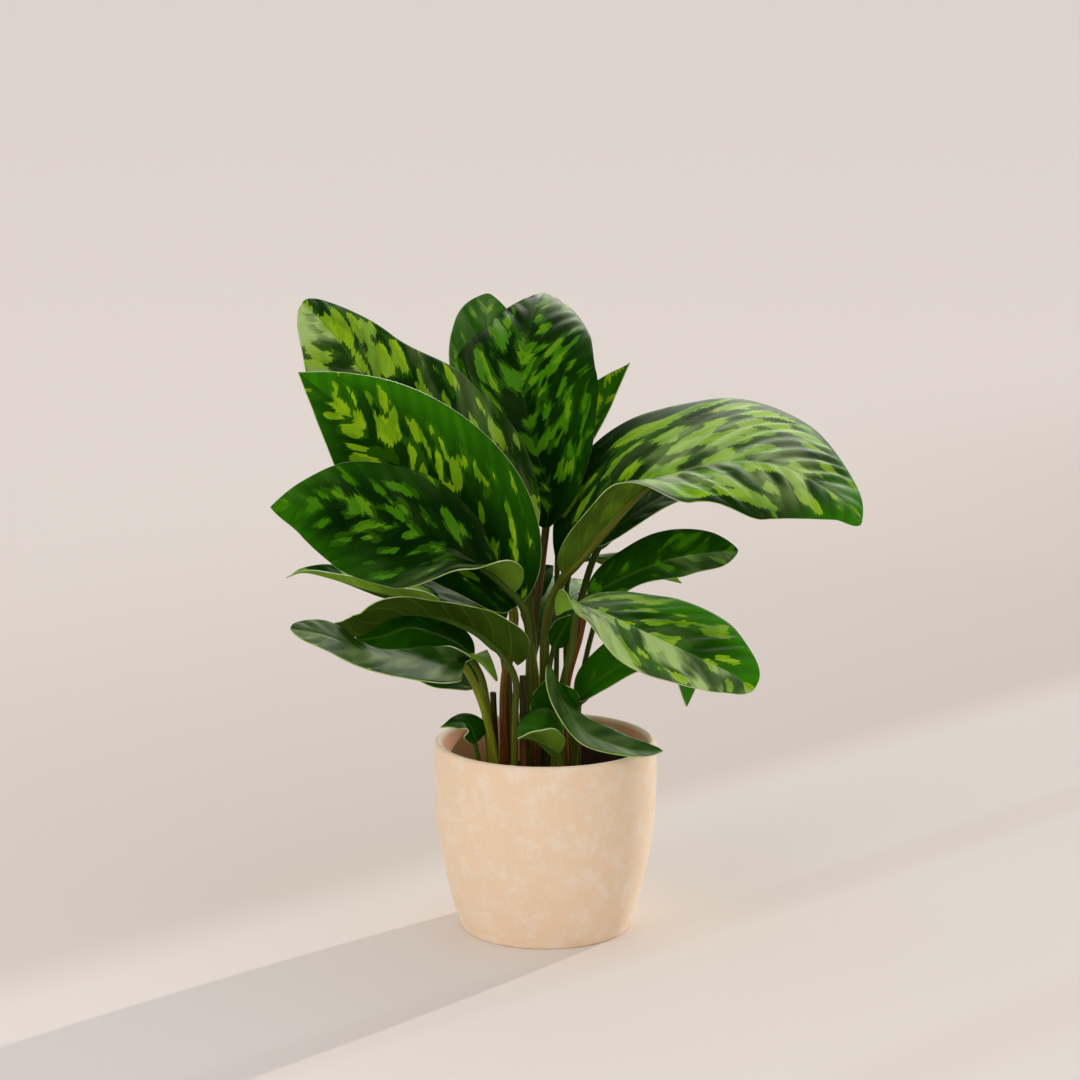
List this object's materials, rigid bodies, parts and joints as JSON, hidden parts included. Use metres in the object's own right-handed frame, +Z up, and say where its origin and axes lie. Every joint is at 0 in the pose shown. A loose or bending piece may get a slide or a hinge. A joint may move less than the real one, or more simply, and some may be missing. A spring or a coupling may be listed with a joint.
{
  "type": "potted homalomena",
  "caption": "Potted foliage plant with broad, pointed, variegated leaves on long stalks, in a flared clay pot with a rounded rim.",
  "frame": {"origin": "middle of the pot's flat base, on the surface it stands on", "axes": "+Z up, -Y towards the viewer's side, +X to the viewer's right, towards the large arching leaf"},
  "size_m": [0.3592, 0.2167, 0.3985],
  "materials": {
    "clay": "matt unglazed",
    "soil": "loose potting mix",
    "leaf": "satin, mottled with lime green",
    "stem": "dry and dull"
  },
  "bodies": {
    "root": {"pot": "clay", "soil": "soil", "leaf_top_left": "leaf", "leaf_left_facing": "leaf", "leaf_left_broad": "leaf", "leaf_left_narrow": "leaf", "leaf_left_hidden": "leaf", "leaf_left_folded": "leaf", "leaf_left_sheen": "leaf", "leaf_left_low": "leaf", "leaf_left_low_back": "leaf", "leaf_crown_back": "leaf", "leaf_crown": "leaf", "leaf_crown_slim": "leaf", "leaf_right_large": "leaf", "leaf_right_back": "leaf", "leaf_right_plain": "leaf", "leaf_right_front": "leaf", "leaf_right_low": "leaf", "leaf_right_underside": "leaf", "leaf_rim_right": "leaf", "leaf_center_narrow": "leaf", "leaf_rim_front": "leaf", "leaf_rim_left": "leaf", "leaf_back_small": "leaf", "leaf_back_wide": "leaf", "leaf_back_edge": "leaf", "leaf_young": "leaf", "sheath_center": "stem", "stub_left": "stem", "stub_center": "stem", "stub_front_left": "stem", "stub_front_right": "stem"}
  },
  "joints": []
}
